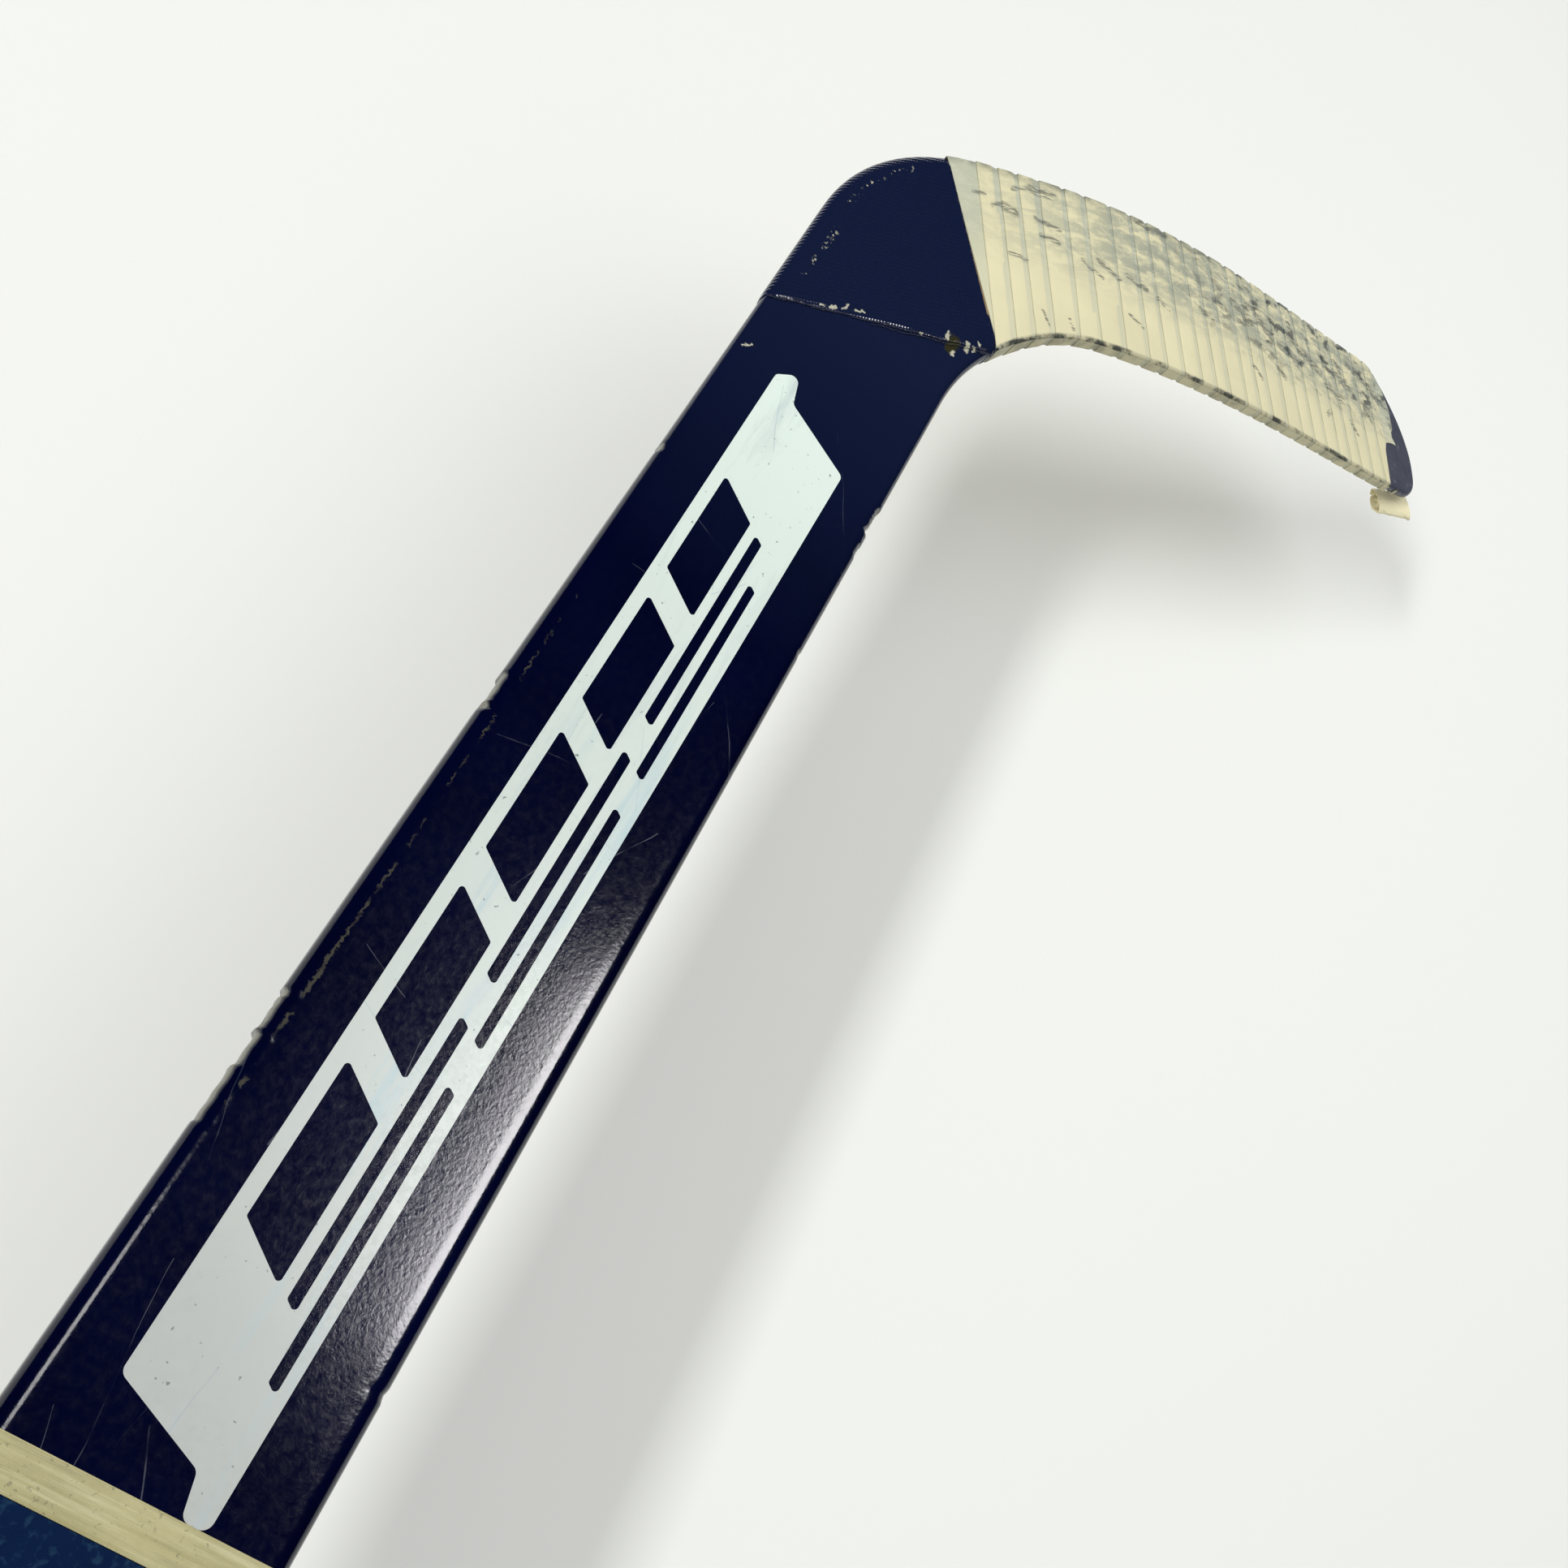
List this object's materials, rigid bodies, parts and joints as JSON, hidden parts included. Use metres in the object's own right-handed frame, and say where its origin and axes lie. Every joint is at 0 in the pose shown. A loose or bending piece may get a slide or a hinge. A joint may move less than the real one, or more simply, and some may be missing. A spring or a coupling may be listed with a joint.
{
  "type": "ice hockey stick",
  "caption": "Goalkeeper's hockey stick: wide foam-cored paddle on a slim shaft, with a curved taped blade, glass-wrapped heel and cloth grip",
  "frame": {"origin": "middle of the underside of the stick's bounding box, as it lies with its front face up", "axes": "+X along the shaft from the heel to the butt, +Y towards the blade's toe, +Z the outward normal of the paddle's front face"},
  "size_m": [1.634, 0.3956, 0.0846],
  "materials": {
    "core_wood": "planed pale aspen",
    "foam": "rigid closed-cell foam",
    "navy_paint": "gloss navy paint over glass laminate, scratched",
    "navy_satin": "worn satin navy paint",
    "glass_sleeve": "painted glass sleeve with a fine cross rib",
    "silver_panel": "satin silver-white print, streaked",
    "cream_tape": "waxed cotton cloth tape, puck-marked",
    "ring_tape": "stretched cloth tape",
    "blue_cloth": "matt blue cloth wrap",
    "white_tape": "white cloth tape"
  },
  "bodies": {
    "root": {"blade_core": "core_wood", "blade_face_back": "navy_satin", "blade_face_front": "navy_satin", "blade_sole_strip": "navy_satin", "blade_tape": "cream_tape", "blade_toe_strip": "navy_satin", "blade_top_strip": "navy_satin", "front_panel": "silver_panel", "heel_block": "core_wood", "heel_wrap": "glass_sleeve", "knob_core": "white_tape", "knob_tape": "white_tape", "paddle_edge_heel_side": "navy_paint", "paddle_edge_toe_side": "navy_paint", "paddle_foam_heel_side": "foam", "paddle_foam_toe_side": "foam", "paddle_grip_wrap": "blue_cloth", "paddle_laminate_back": "navy_paint", "paddle_laminate_front": "navy_paint", "paddle_tape_ring": "ring_tape", "shaft_core": "core_wood", "shaft_laminate_back": "navy_paint", "shaft_laminate_front": "navy_paint", "shaft_rail_heel_side": "navy_paint", "shaft_rail_toe_side": "navy_paint", "shoulder_block_heel_side": "core_wood", "shoulder_block_toe_side": "core_wood", "tape_tail": "cream_tape"}
  },
  "joints": []
}
